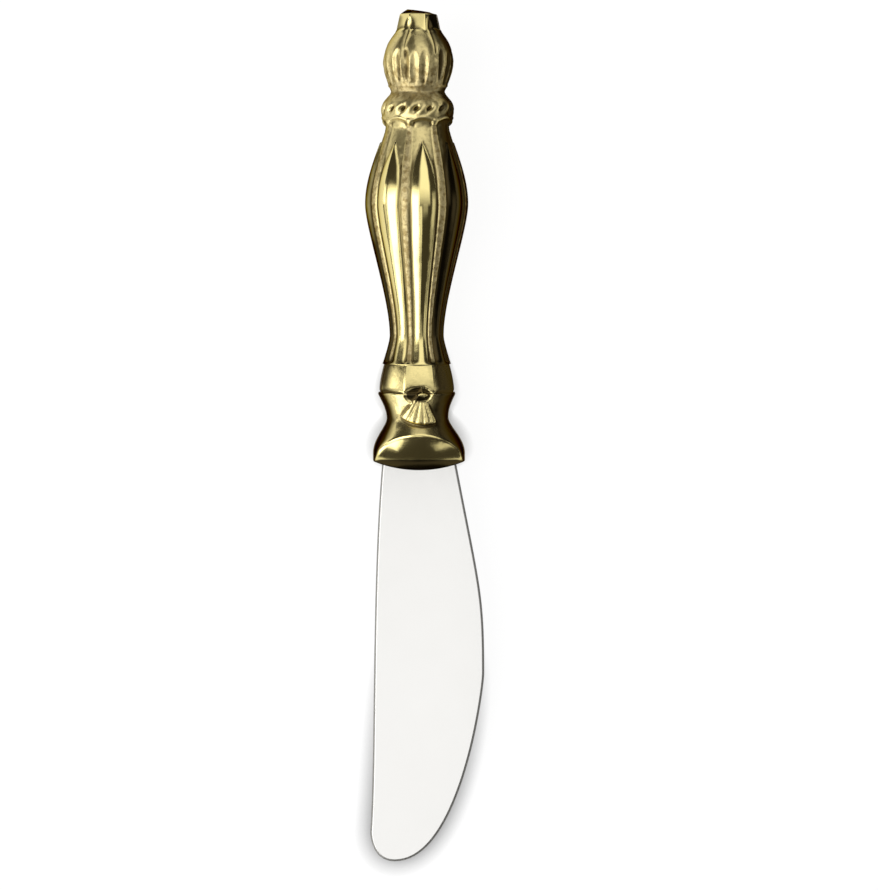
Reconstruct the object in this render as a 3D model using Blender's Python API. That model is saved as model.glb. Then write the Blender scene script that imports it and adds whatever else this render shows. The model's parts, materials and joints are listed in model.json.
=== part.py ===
"""Butter spreader: a cast brass baluster handle with a stainless blade cemented into its foot.

The spreader is modelled along its own axis, +Y towards the cap, with the end of the foot at y = 0 and the blade
in the XY plane, edge towards +X. It then lies down as it does on a table: on the belly and the foot of the handle,
blade clear of the table, origin under the middle of it.
"""

import math

import bmesh
import bpy
from mathutils import Matrix, Vector
from mathutils.geometry import interpolate_bezier

MM = 0.001

# Heights of the handle's mouldings, from the foot up
FOOT_BULGE = 1.3 * MM
RIM_HEIGHT = 1.6 * MM
FLARE_HEIGHT = 6.4 * MM
COVE_HEIGHT = 4.6 * MM
BAND_HEIGHT = 5.0 * MM
STEM_HEIGHT = 5.1 * MM
SWELL_HEIGHT = 23.4 * MM
SHOULDER_HEIGHT = 13.6 * MM
COLLAR_LOWER_HEIGHT = 3.2 * MM
COLLAR_UPPER_HEIGHT = 3.1 * MM
BULB_LOWER_HEIGHT = 5.0 * MM
BULB_UPPER_HEIGHT = 6.0 * MM
CAP_HEIGHT = 2.6 * MM
CROWN_RISE = 0.8 * MM

# Radii of the handle where its profile turns
RIM_RADIUS = 8.22 * MM
COVE_RADIUS = 5.5 * MM
BAND_RADIUS = 7.0 * MM
GROOVE_RADIUS = 6.1 * MM
WAIST_RADIUS = 4.86 * MM
BELLY_RADIUS = 9.26 * MM
NECK_RADIUS = 5.88 * MM
COLLAR_RADIUS = 6.57 * MM
THROAT_RADIUS = 4.78 * MM
BULB_RADIUS = 6.32 * MM
CAP_BASE_RADIUS = 4.12 * MM
CAP_RADIUS = 3.5 * MM
CROWN_FLAT_RADIUS = 1.9 * MM

# Ornament of the handle: lobes and fillets of the baluster, beads of the collar, petals and reeds of the bulb
LOBES = 8
LOBE_TURN = math.radians(10.5)
LOBE_DEPTH = 0.55 * MM
LOBE_TIP_LENGTH = 6.0 * MM
FILLET_SHARE = 0.2
FILLET_RISE = 0.5 * MM
FILLET_FOOT_LENGTH = 0.6 * MM
FACET_EASE = 0.9 * MM
BEADS = 16
BEAD_DEPTH = 0.6 * MM
BEAD_HALF_LENGTH = 1.9 * MM
BEAD_SLANT = math.radians(9)
PETAL_DEPTH = 0.55 * MM
REEDS = 16
REED_DEPTH = 0.35 * MM

# Pillow that the foot is cut to: a cheek front and back, rolled over towards the blade
CHEEK_HALF_THICKNESS = 6.87 * MM
CHEEK_HALF_WIDTH = 13.5 * MM
CHEEK_HEIGHT = 5.2 * MM

# Blade, at the place of its spine and its edge left and right of the axis
BLADE_LENGTH = 71.7 * MM
BLADE_THICKNESS = 1.5 * MM
EDGE_ROUND = 0.3 * MM
SPINE_AT_ROOT = 6.15 * MM
SPINE_AT_TIP = 8.35 * MM
TIP_CORNER_RISE = 5.4 * MM
TIP_LOW_POINT = 3.95 * MM
EDGE_AT_ROOT = 7.0 * MM
EDGE_BELLY = 12.07 * MM
EDGE_BELLY_HEIGHT = 37.8 * MM

# Seat of the blade: a slot across the foot, a bore for the tang and the cement round it
SLOT_DEPTH = 2.2 * MM
TANG_WIDTH = 3.2 * MM
TANG_LENGTH = 38.0 * MM
BORE_RADIUS = 2.7 * MM
BORE_END_GAP = 2.5 * MM
CLEARANCE = 0.25 * MM

# Fineness of the meshes
COLUMNS = 96
PILLOW_SEGMENTS = 48
BORE_SEGMENTS = 32
CURVE_STEPS = 14
MERGE_DISTANCE = 0.001 * MM
CRISP_ANGLE = math.radians(35)


def clear_scene():
    for old in list(bpy.data.objects):
        bpy.data.objects.remove(old)


def new_collection(name):
    collection = bpy.data.collections.new(name)
    bpy.context.scene.collection.children.link(collection)
    return collection


def new_material(name, colour, metallic, roughness):
    material = bpy.data.materials.new(name)
    material.use_nodes = True
    shader = material.node_tree.nodes["Principled BSDF"]
    shader.inputs["Base Color"].default_value = (*colour, 1.0)
    shader.inputs["Metallic"].default_value = metallic
    shader.inputs["Roughness"].default_value = roughness
    return material


def add_mesh(name, bm, collection, material=None):
    """A mesh object of the finished bmesh, faces out, smooth but for its crisp edges."""
    bmesh.ops.recalc_face_normals(bm, faces=bm.faces)
    mesh = bpy.data.meshes.new(name)
    bm.to_mesh(mesh)
    bm.free()
    mesh.shade_smooth()
    mesh.set_sharp_from_angle(angle=CRISP_ANGLE)
    if material:
        mesh.materials.append(material)
    piece = bpy.data.objects.new(name, mesh)
    collection.objects.link(piece)
    return piece


def add_cutter(name, bm, collection):
    cutter = add_mesh(name, bm, collection)
    cutter.hide_render = True
    cutter.display_type = "WIRE"
    return cutter


def cut(piece, cutter):
    modifier = piece.modifiers.new(cutter.name, "BOOLEAN")
    modifier.operation = "DIFFERENCE"
    modifier.object = cutter


def box_between(low, high):
    """A box from one corner to the opposite one."""
    low = Vector(low)
    high = Vector(high)
    bm = bmesh.new()
    place = Matrix.Translation((low + high) / 2) @ Matrix.Diagonal((*(high - low), 1.0))
    bmesh.ops.create_cube(bm, size=1.0, matrix=place)
    return bm


def cylinder_along_y(radius, low, high):
    """A cylinder round the spreader's axis from one height to another."""
    bm = bmesh.new()
    place = Matrix.Translation((0, (low + high) / 2, 0)) @ Matrix.Rotation(math.pi / 2, 4, "X")
    bmesh.ops.create_cone(
        bm, cap_ends=True, segments=BORE_SEGMENTS, radius1=radius, radius2=radius, depth=high - low, matrix=place
    )
    return bm


def smooth(share):
    share = min(max(share, 0.0), 1.0)
    return share * share * (3 - 2 * share)


def ramp(value, start, end):
    """0 before the start and 1 past the end, eased between them."""
    return smooth((value - start) / (end - start))


# Heights at which the profile turns, added up from the mouldings
FLARE_FOOT = RIM_HEIGHT
COVE = FLARE_FOOT + FLARE_HEIGHT
BAND_FOOT = COVE + COVE_HEIGHT
GROOVE = BAND_FOOT + BAND_HEIGHT
WAIST = GROOVE + STEM_HEIGHT
BELLY = WAIST + SWELL_HEIGHT
NECK = BELLY + SHOULDER_HEIGHT
COLLAR = NECK + COLLAR_LOWER_HEIGHT
THROAT = COLLAR + COLLAR_UPPER_HEIGHT
BULB = THROAT + BULB_LOWER_HEIGHT
CAP_BASE = BULB + BULB_UPPER_HEIGHT
CAP_TOP = CAP_BASE + CAP_HEIGHT
CROWN = CAP_TOP + CROWN_RISE


def mouldings():
    """Each runs to a height and a radius: how full its curve is at its lower and its upper end, and its rows."""
    return (
        (FLARE_FOOT, RIM_RADIUS, 0.33, 0.33, 1),
        (COVE, COVE_RADIUS, 0.43, 0.24, 6),
        (BAND_FOOT, BAND_RADIUS, 0.3, 0.31, 5),
        (GROOVE, GROOVE_RADIUS, 0.45, 0.03, 4),
        (WAIST, WAIST_RADIUS, 0.05, 0.26, 4),
        (BELLY, BELLY_RADIUS, 0.28, 0.19, 8),
        (NECK, NECK_RADIUS, 0.42, 0.13, 7),
        (COLLAR, COLLAR_RADIUS, 0.25, 0.29, 4),
        (THROAT, THROAT_RADIUS, 0.42, 0.24, 4),
        (BULB, BULB_RADIUS, 0.02, 0.36, 4),
        (CAP_BASE, CAP_BASE_RADIUS, 0.68, 0.23, 5),
        (CAP_TOP, CAP_RADIUS, 0.0, 0.0, 1),
    )


def handle_profile():
    """Points of the half outline as (radius, height), from under the foot up to the middle of the crown."""
    below = -2 * FOOT_BULGE
    points = [(0.0, below), (RIM_RADIUS, below)]
    for top, radius, lower, upper, rows in mouldings():
        start = Vector((points[-1][0], points[-1][1], 0))
        end = Vector((radius, top, 0))
        height = top - start.y
        leave = start + Vector((0, lower * height, 0))
        arrive = end - Vector((0, upper * height, 0))
        curve = interpolate_bezier(start, leave, arrive, end, rows + 1)
        points += [(point.x, point.y) for point in curve[1:]]
    points.append((CROWN_FLAT_RADIUS, CROWN))
    points.append((0.0, CROWN))
    return points


def from_crest(theta):
    """Share of the way round from a lobe's crest to the fillet beside it."""
    turns = (theta - LOBE_TURN) * LOBES / math.tau
    return 2 * abs(turns - round(turns))


def facet_drop(radius, theta):
    """How far the middle of a flat facet lies inside the round that runs through its corners."""
    half_facet = math.pi / LOBES
    return radius * (1 - math.cos(half_facet) / math.cos(half_facet * from_crest(theta)))


def baluster_drop(height, theta):
    """Lobes that fall away to the fillets between them, which stand back up to the lobes' height."""
    share = from_crest(theta)
    lobe = ramp(height, NECK, NECK - LOBE_TIP_LENGTH) * LOBE_DEPTH * share**2
    fillet = FILLET_RISE * smooth((share - 1 + FILLET_SHARE) / FILLET_SHARE)
    size = ramp(height, GROOVE, GROOVE + FILLET_FOOT_LENGTH)
    return size * (lobe - fillet * ramp(height, COLLAR, NECK))


def collar_drop(height, theta):
    """Slanted beads round the collar."""
    off = (height - COLLAR) / BEAD_HALF_LENGTH
    slant = theta - LOBE_TURN - BEAD_SLANT * off
    bead = abs(math.cos(slant * BEADS / 2))
    return BEAD_DEPTH * (1 - bead) * smooth(1 - abs(off))


def bulb_drop(height, theta):
    """Broad petals over the shoulder of the bulb, narrow reeds under it."""
    petal = PETAL_DEPTH * from_crest(theta) ** 2
    reed = REED_DEPTH * (1 - math.cos((theta - LOBE_TURN) * REEDS)) / 2
    shoulder = ramp(height, BULB - BULB_LOWER_HEIGHT / 4, BULB + BULB_UPPER_HEIGHT / 4)
    ends = ramp(height, THROAT, THROAT + BULB_LOWER_HEIGHT / 3) * ramp(height, CAP_BASE, BULB)
    under = ramp(height, THROAT, THROAT + BULB_LOWER_HEIGHT / 3)
    return ends * shoulder * petal + under * (1 - shoulder) * reed


def ornament_drop(radius, height, theta):
    """How far the ornament cuts the turned surface back, at one place of it."""
    if COVE < height <= GROOVE:
        return facet_drop(radius, theta) * ramp(height, BAND_FOOT - FACET_EASE, BAND_FOOT)
    if height >= CAP_BASE:
        return facet_drop(radius, theta)
    if GROOVE < height < COLLAR:
        return baluster_drop(height, theta) + collar_drop(height, theta)
    if COLLAR <= height <= THROAT:
        return collar_drop(height, theta)
    if THROAT < height < CAP_BASE:
        return bulb_drop(height, theta)
    return 0.0


def handle_casting():
    """The profile turned round the axis, with the ornament pressed into the turned surface."""
    bm = bmesh.new()
    verts = [bm.verts.new((radius, height, 0)) for radius, height in handle_profile()]
    edges = [bm.edges.new(pair) for pair in zip(verts, verts[1:])]
    bmesh.ops.spin(
        bm, geom=verts + edges, axis=(0, 1, 0), cent=(0, 0, 0), angle=math.tau, steps=COLUMNS, use_merge=True
    )
    bmesh.ops.remove_doubles(bm, verts=bm.verts, dist=MERGE_DISTANCE)
    for vert in bm.verts:
        radius = math.hypot(vert.co.x, vert.co.z)
        if radius > 0:
            theta = math.atan2(vert.co.x, vert.co.z)
            scale = 1 - ornament_drop(radius, vert.co.y, theta) / radius
            vert.co.x *= scale
            vert.co.z *= scale
    return bm


def foot_pillow():
    """Half of a flattened ball for the end of the foot, carried straight up as its two cheeks."""
    bm = bmesh.new()
    stand = Matrix.Rotation(math.pi / 2, 4, "X")
    bmesh.ops.create_uvsphere(bm, u_segments=PILLOW_SEGMENTS, v_segments=PILLOW_SEGMENTS, radius=1, matrix=stand)
    everything = bm.verts[:] + bm.edges[:] + bm.faces[:]
    bmesh.ops.bisect_plane(bm, geom=everything, plane_co=(0, 0, 0), plane_no=(0, 1, 0), clear_outer=True)
    shape = Matrix.Diagonal((CHEEK_HALF_WIDTH, CHEEK_HEIGHT + FOOT_BULGE, CHEEK_HALF_THICKNESS, 1.0))
    bmesh.ops.transform(bm, matrix=Matrix.Translation((0, CHEEK_HEIGHT, 0)) @ shape, verts=bm.verts)
    rim = [edge for edge in bm.edges if edge.is_boundary]
    raised = bmesh.ops.extrude_edge_only(bm, edges=rim)["geom"]
    top = [element for element in raised if isinstance(element, bmesh.types.BMVert)]
    bmesh.ops.translate(bm, verts=top, vec=(0, 2 * COVE, 0))
    bmesh.ops.contextual_create(bm, geom=[edge for edge in bm.edges if edge.is_boundary])
    return bm


def make_handle(parts, cutters, brass):
    handle = add_mesh("handle", handle_casting(), parts, brass)
    reach = 2 * CHEEK_HALF_WIDTH
    mould = add_cutter("foot_mould", box_between((-reach, -reach, -reach), (reach, COVE, reach)), cutters)
    cut(mould, add_cutter("foot_pillow", foot_pillow(), cutters))
    cut(handle, mould)
    half = BLADE_THICKNESS / 2 + CLEARANCE
    below = -2 * FOOT_BULGE
    slot = box_between(
        (-SPINE_AT_ROOT - CLEARANCE, below, -half), (EDGE_AT_ROOT + CLEARANCE, SLOT_DEPTH, half)
    )
    cut(handle, add_cutter("blade_slot", slot, cutters))
    bore = cylinder_along_y(BORE_RADIUS, SLOT_DEPTH - CLEARANCE, SLOT_DEPTH + TANG_LENGTH + BORE_END_GAP)
    cut(handle, add_cutter("tang_bore", bore, cutters))


def blade_outline():
    """Corners and turning points of the blade as (place, handle back, handle on), round from the tang's end."""
    root = SLOT_DEPTH - CLEARANCE
    tang = TANG_WIDTH / 2
    tang_end = SLOT_DEPTH + TANG_LENGTH
    tip = -BLADE_LENGTH
    corner = tip + TIP_CORNER_RISE
    spine_lean = SPINE_AT_TIP - SPINE_AT_ROOT
    edge_reach = EDGE_BELLY - EDGE_AT_ROOT
    straight = None
    return (
        ((-tang, tang_end), straight, straight),
        ((-tang, root), straight, straight),
        ((-SPINE_AT_ROOT, root), straight, straight),
        ((-SPINE_AT_ROOT, 0.0), straight, (-0.9 * spine_lean, -0.31 * BLADE_LENGTH)),
        ((-SPINE_AT_TIP, corner), (0.44 * spine_lean, 0.19 * BLADE_LENGTH), (0.0, -0.18 * TIP_CORNER_RISE)),
        ((-TIP_LOW_POINT, tip), (-0.92 * (SPINE_AT_TIP - TIP_LOW_POINT), 0.0), (EDGE_BELLY, 0.0)),
        ((EDGE_BELLY, -EDGE_BELLY_HEIGHT), (0.0, -0.07 * EDGE_BELLY_HEIGHT), (0.0, 0.38 * EDGE_BELLY_HEIGHT)),
        ((EDGE_AT_ROOT, 0.0), (0.86 * edge_reach, -0.6 * EDGE_BELLY_HEIGHT), straight),
        ((EDGE_AT_ROOT, root), straight, straight),
        ((tang, root), straight, straight),
        ((tang, tang_end), straight, straight),
    )


def blade_curve():
    """The blade's outline as a filled curve, as thick as the blade, with its edges rounded."""
    curve = bpy.data.curves.new("blade_outline", "CURVE")
    curve.dimensions = "2D"
    curve.fill_mode = "BOTH"
    curve.resolution_u = CURVE_STEPS
    curve.extrude = BLADE_THICKNESS / 2 - EDGE_ROUND
    curve.bevel_depth = EDGE_ROUND
    curve.bevel_resolution = 1
    curve.offset = -EDGE_ROUND
    spline = curve.splines.new("BEZIER")
    spline.use_cyclic_u = True
    outline = blade_outline()
    spline.bezier_points.add(len(outline) - 1)
    for point, (place, back, on) in zip(spline.bezier_points, outline):
        point.co = (*place, 0.0)
        point.handle_left_type = "FREE" if back else "VECTOR"
        point.handle_right_type = "FREE" if on else "VECTOR"
        if back:
            point.handle_left = (place[0] + back[0], place[1] + back[1], 0.0)
        if on:
            point.handle_right = (place[0] + on[0], place[1] + on[1], 0.0)
    return bpy.data.objects.new("blade_outline", curve)


def make_blade(parts, steel):
    """The filled outline as a closed mesh, its flat sides parted where they go under the foot."""
    outline = blade_curve()
    parts.objects.link(outline)
    evaluated = outline.evaluated_get(bpy.context.evaluated_depsgraph_get())
    mesh = bpy.data.meshes.new_from_object(evaluated)
    bm = bmesh.new()
    bm.from_mesh(mesh)
    bmesh.ops.remove_doubles(bm, verts=bm.verts, dist=MERGE_DISTANCE)
    everything = bm.verts[:] + bm.edges[:] + bm.faces[:]
    under_foot = -FOOT_BULGE - CLEARANCE
    bmesh.ops.bisect_plane(bm, geom=everything, plane_co=(0, under_foot, 0), plane_no=(0, 1, 0))
    bpy.data.objects.remove(outline)
    add_mesh("blade", bm, parts, steel)


def make_tang_cement(parts, cutters, resin):
    """The resin that fills the bore round the tang and past its end."""
    tang_end = SLOT_DEPTH + TANG_LENGTH
    low = SLOT_DEPTH + CLEARANCE
    fill = cylinder_along_y(BORE_RADIUS - CLEARANCE, low, tang_end + BORE_END_GAP - CLEARANCE)
    cement = add_mesh("tang_cement", fill, parts, resin)
    half_width = TANG_WIDTH / 2 + CLEARANCE
    half_thick = BLADE_THICKNESS / 2 + CLEARANCE
    pocket = box_between((-half_width, 0, -half_thick), (half_width, tang_end + CLEARANCE, half_thick))
    cut(cement, add_cutter("tang_pocket", pocket, cutters))


def evaluated_points(pieces):
    """World places of every vertex of the pieces, with their cuts made."""
    graph = bpy.context.evaluated_depsgraph_get()
    points = []
    for piece in pieces:
        shown = piece.evaluated_get(graph)
        points += [shown.matrix_world @ vert.co for vert in shown.data.vertices]
    return points


def rest_tilt(points):
    """The lean at which the belly and the foot of the handle touch the table together."""
    level, steep = 0.0, math.radians(30)
    halvings = 40
    for _ in range(halvings):
        lean = (level + steep) / 2
        heights = [(point.y, point.y * math.sin(lean) + point.z * math.cos(lean)) for point in points]
        belly = min(height for y, height in heights if y > WAIST)
        foot = min(height for y, height in heights if y <= WAIST)
        if foot > belly:
            level = lean
        else:
            steep = lean
    return (level + steep) / 2


def lay_down(parts, cutters):
    """Parents everything to one empty, lays it as on a table and brings the middle of its footprint to the origin."""
    pieces = list(parts.objects)
    spreader = bpy.data.objects.new("butter_spreader", None)
    parts.objects.link(spreader)
    for piece in pieces + list(cutters.objects):
        piece.parent = spreader
    bpy.context.view_layer.update()
    spreader.rotation_euler.x = rest_tilt(evaluated_points(pieces))
    bpy.context.view_layer.update()
    points = evaluated_points(pieces)
    low = [min(point[axis] for point in points) for axis in range(3)]
    high = [max(point[axis] for point in points) for axis in range(3)]
    spreader.location = (-(low[0] + high[0]) / 2, -(low[1] + high[1]) / 2, -low[2])
    bpy.context.view_layer.update()


def build():
    clear_scene()
    parts = new_collection("butter_spreader")
    cutters = new_collection("cutters")
    brass = new_material("brass", (0.72, 0.56, 0.24), 1.0, 0.22)
    steel = new_material("steel", (0.8, 0.79, 0.76), 1.0, 0.12)
    resin = new_material("resin", (0.36, 0.33, 0.28), 0.0, 0.6)
    make_handle(parts, cutters, brass)
    make_blade(parts, steel)
    make_tang_cement(parts, cutters, resin)
    lay_down(parts, cutters)


build()
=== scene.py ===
"""Looks of the butter spreader: cast brass handle, stainless blade and the resin that holds the tang."""

import json
import math

import bmesh
import bpy
import numpy as np
from mathutils import Matrix, Vector, noise
from mathutils.geometry import interpolate_bezier


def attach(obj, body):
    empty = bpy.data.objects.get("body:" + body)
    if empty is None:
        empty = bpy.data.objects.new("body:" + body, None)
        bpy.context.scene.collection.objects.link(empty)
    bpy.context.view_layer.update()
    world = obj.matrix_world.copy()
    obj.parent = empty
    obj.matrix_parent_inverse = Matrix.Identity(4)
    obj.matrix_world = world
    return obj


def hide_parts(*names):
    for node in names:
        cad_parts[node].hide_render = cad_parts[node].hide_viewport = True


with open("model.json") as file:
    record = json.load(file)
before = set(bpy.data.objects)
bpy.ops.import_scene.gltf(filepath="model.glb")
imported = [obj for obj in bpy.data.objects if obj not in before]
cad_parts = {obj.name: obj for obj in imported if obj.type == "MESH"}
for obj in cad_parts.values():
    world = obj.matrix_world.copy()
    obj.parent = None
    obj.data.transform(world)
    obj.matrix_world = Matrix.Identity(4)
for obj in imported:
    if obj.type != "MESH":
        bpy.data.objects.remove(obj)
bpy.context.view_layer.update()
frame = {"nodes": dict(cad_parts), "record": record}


# Handle
# One solid brass casting: cap, bulb, collar, baluster, band, cove and foot, carved in the pattern it is cast
# from. The lobes and mouldings are polished by hand, the fillets keep their pitted cast skin, and dark polish
# stays in the hollows.
# Shade is painted on the flanks that face the camera, on the end of the foot and in the niche.

MM = 0.001

# Heights above the end of the foot at which the profile turns
FOOT_END = -1.3 * MM
RIM_TOP = 1.6 * MM
COVE = 8.0 * MM
BAND_FOOT = 12.6 * MM
GROOVE = 17.6 * MM
WAIST = 22.7 * MM
BELLY = 46.1 * MM
NECK = 59.7 * MM
COLLAR = 62.9 * MM
THROAT = 66.0 * MM
BULB = 71.0 * MM
CAP_BASE = 77.0 * MM
CAP_TOP = 79.6 * MM
CROWN = 80.3 * MM
CAP_END_MOUNT = 80.4 * MM

RIM_RADIUS = 8.22 * MM
BAND_RADIUS = 7.0 * MM
COLLAR_RADIUS = 6.57 * MM
CAP_BASE_RADIUS = 4.12 * MM
CAP_RADIUS = 3.5 * MM
CROWN_FLAT_RADIUS = 2.1 * MM
CROWN_SLANT = 0.13

# Each moulding: height and radius it runs to, how full its curve is at its lower and upper end, rows of faces
MOULDINGS = (
    (COVE, 5.5 * MM, 0.43, 0.24, 30),
    (BAND_FOOT, BAND_RADIUS, 0.45, 0.12, 34),
    (GROOVE, 6.1 * MM, 0.45, 0.03, 22),
    (WAIST, 4.86 * MM, 0.05, 0.26, 20),
    (BELLY, 9.26 * MM, 0.28, 0.19, 84),
    (NECK, 5.88 * MM, 0.42, 0.13, 54),
    (COLLAR, COLLAR_RADIUS, 0.25, 0.29, 26),
    (THROAT, 4.78 * MM, 0.42, 0.24, 20),
    (BULB, 6.32 * MM, 0.02, 0.36, 28),
    (CAP_BASE, CAP_BASE_RADIUS, 0.68, 0.18, 30),
    (CAP_TOP, CAP_RADIUS, 0.0, 0.0, 12),
)
END_ROWS = 12
RIM_ROWS = 16
CROWN_ROWS = 4
COLUMNS = 240
MERGE_DISTANCE = 0.001 * MM

# Foot: both cheeks rolled over to a blunt end, which is rounded across, and the edges between them eased
CHEEK_HALF_THICKNESS = 7.79 * MM
CHEEK_CREST = 10.1 * MM
CHEEK_ROLL = 14.7 * MM
CHEEK_CROWN = 16.0 * MM
# Painted shade on the foot: how much of the flanks' shade the cut cheeks lose, and the height and ease of the
# dark end
CHEEK_SHADE_CUT = 0.6
END_SHADE_TOP = 1.6 * MM
END_SHADE_EASE = 1.6 * MM
END_ROUND = 22.0 * MM
CHEEK_EDGE_ROUND = 0.3 * MM
END_EDGE_ROUND = 0.22 * MM
END_EDGE_STEPS = 3
ROUND_PROFILE = 0.5
FOOT_EDGE_PASSES = 6

# How far foot and cap stand aside of the axis
FOOT_SHIFT = 0.4 * MM
CAP_SHIFT = 0.35 * MM

# Band: eight pillowed facets over a thin groove
BAND_TURN = math.radians(4)
FACET_PILLOW = 0.35
BAND_GROOVE_DEPTH = 0.22 * MM
BAND_GROOVE_HALF_WIDTH = 0.22 * MM

# Cove: a leaf of five petals that hangs over it from a dark niche with a bud, on the front and on the back
LEAF_TURN = math.radians(1)
LEAF_ROOT = 13.4 * MM
LEAF_TOP = 11.5 * MM
LEAF_RADIUS = 5.75 * MM
LEAF_FLARE = 0.13
LEAF_ASIDE = 1.0 * MM
LEAF_LENGTH = 6.6 * MM
LEAF_END_EASE = 0.45 * MM
LEAF_TOP_EASE = 0.7 * MM
PETAL_EDGES = tuple(math.radians(turn) for turn in (-38, -25, -13, -2, 8, 17))
PETAL_RISE = 0.26 * MM
NICHE_ASIDE = 0.2 * MM
NICHE_MIDDLE = 12.3 * MM
NICHE_HALF_WIDTH = 2.6 * MM
NICHE_HALF_HEIGHT = 1.5 * MM
NICHE_DEPTH = 0.6 * MM
BUD_ASIDE = 1.1 * MM
BUD_MIDDLE = 12.3 * MM
BUD_HALF_WIDTH = 0.95 * MM
BUD_HALF_HEIGHT = 0.42 * MM
BUD_RISE = 0.6 * MM
# Painted shade in the niche: how dark it is painted
NICHE_SHADE = 1.3

# Baluster: lobes with pointed tips in sunk fields, between narrow fillets
LOBES = 8
LOBE_TURN = math.radians(9)
LOBE_DEPTH = 0.6 * MM
LOBE_FOOT_LENGTH = 0.8 * MM
LOBE_FULL = 48.4 * MM
LOBE_TIP = 57.0 * MM
LOBE_POINT = 2.2
FIELD_EDGE = 0.8 * MM
FILLET_SHARE = 0.24
FILLET_RISE = 0.36 * MM
FILLET_TOP_EASE = 1.6 * MM
TOP_SHALLOWNESS = 0.55
PIT_SIZE = 0.75 * MM
PIT_DEPTH = 0.13 * MM

# Painted shade on the flanks that face the camera: the turn of its unshaded middle, how much lighter the left
# flank is painted, how much more shade goes from the belly down and at the waist, and none underneath
SHADE_TURN = math.radians(-11)
LEFT_SIDE_LIGHTER = 0.24
UNSHADED_UNDER = (-0.6, -0.1)
LOWER_SHADE = 0.06
WAIST_SHADE = 0.1

# How much of the matt skin the polishing leaves in each kind of carving
FIELD_MATT = 0.55
FIELD_MATT_SHARPNESS = 4
WAIST_MATT = 0.2
WAIST_MATT_LENGTH = 6.0 * MM
BULB_MATT = 1.0
COLLAR_MATT = 0.6
COVE_MATT = 0.35
BAND_MATT = 0.25
BAND_MATT_EASE = 1.0 * MM

# Collar: slanted beads over a scalloped edge, with a knob where each fillet starts
BEADS = 16
BEAD_DEPTH = 0.42 * MM
BEAD_SHARPNESS = 1.6
BEAD_HALF_LENGTH = 1.45 * MM
BEAD_END_EASE = 0.8
BEAD_PIT_DEPTH = 0.8 * MM
BEAD_PIT_HALF_WIDTH = 0.6 * MM
BEAD_SLANT = math.radians(7)
SCALLOP_FOOT = 60.5 * MM
SCALLOP_RISE = 0.8 * MM
SCALLOP_HALF_WIDTH = 0.26 * MM
SCALLOP_HEIGHT = 0.2 * MM
KNOB_HALF_WIDTH = 0.7 * MM
KNOB_HEIGHT = 0.3 * MM
KNOB_REACH = 6.0 * MM

# Bulb: hollow flutes that rise from a thin ring, and broad petals over its shoulder
FLUTES = 22
FLUTE_TURN = math.radians(2)
FLUTE_DEPTH = 0.4 * MM
FLUTE_MIDDLE = 70.1 * MM
FLUTE_HALF_LENGTH = 3.2 * MM
RING = 66.9 * MM
RING_HALF_WIDTH = 0.22 * MM
RING_HEIGHT = 0.14 * MM
FLUTE_UNEVENNESS = 0.9
FLUTE_DRAW = 0.5
SHOULDER_PETALS = 6
SHOULDER_TURN = math.radians(3)
SHOULDER_FOOT = 71.0 * MM
SHOULDER_EASE = 2.0 * MM
SHOULDER_DEPTH = 0.5 * MM
SHOULDER_SHARPNESS = 4

# Cap: eight flats that run out in arches on the shoulder of the bulb, up to the dark cut of the sprue
CAP_TURN = math.radians(-4)
CAP_ARCH_FOOT = 76.8 * MM
CAP_ARCH_RISE = 0.5 * MM
CAP_ARCH_EASE = 0.6 * MM

mounts = {mount["name"]: mount for mount in frame["record"]["mounts"]}
handle_axis = Vector(mounts["cap_end"]["axis"])
blade_middle = (Vector(mounts["blade_flat"]["pos_m"]) + Vector(mounts["blade_flat_under"]["pos_m"])) / 2
cap_reach = (Vector(mounts["cap_end"]["pos_m"]) - blade_middle).dot(handle_axis)
across = Vector((1, 0, 0))
spreader_place = Matrix((across, handle_axis, across.cross(handle_axis))).transposed().to_4x4()
spreader_place.translation = blade_middle + handle_axis * (cap_reach - CAP_END_MOUNT)


def ease(value, start, end):
    """0 before the start and 1 past the end, eased between them."""
    share = min(max((value - start) / (end - start), 0.0), 1.0)
    return share * share * (3 - 2 * share)


def hump(offset):
    """Round section of a bead: 1 in its middle and 0 from its edges on."""
    return math.sqrt(max(0.0, 1 - offset * offset))


def thin_rise(offset):
    """Soft section of a thin raised line."""
    return math.exp(-offset * offset)


def lobe_side(theta):
    """Place across a lobe: 0 on its crest, -1 and 1 on the fillets beside it."""
    turns = (theta - LOBE_TURN) * LOBES / math.tau
    return 2 * (turns - round(turns))


def handle_profile():
    """Half outline as (radius, height), from the middle of the foot's end to the middle of the crown."""
    points = [(RIM_RADIUS * math.sin(math.pi / 2 * row / END_ROWS), FOOT_END) for row in range(END_ROWS + 1)]
    rim_height = RIM_TOP - FOOT_END
    points += [(RIM_RADIUS, FOOT_END + rim_height * row / RIM_ROWS) for row in range(1, RIM_ROWS + 1)]
    for top, radius, lower, upper, rows in MOULDINGS:
        start = Vector((*points[-1], 0))
        end = Vector((radius, top, 0))
        leave = start + Vector((0, lower * (top - start.y), 0))
        arrive = end - Vector((0, upper * (top - start.y), 0))
        curve = interpolate_bezier(start, leave, arrive, end, rows + 1)
        points += [(point.x, point.y) for point in curve[1:]]
    for row in range(1, CROWN_ROWS + 1):
        share = row / CROWN_ROWS
        radius = CAP_RADIUS + (CROWN_FLAT_RADIUS - CAP_RADIUS) * share
        points.append((radius, CAP_TOP + (CROWN - CAP_TOP) * share))
    points += [(CROWN_FLAT_RADIUS / 2, CROWN), (0.0, CROWN)]
    return points


def end_height(aside):
    """Height of the foot's blunt end at a place across it."""
    return FOOT_END + END_ROUND - math.sqrt(END_ROUND**2 - aside**2)


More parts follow.
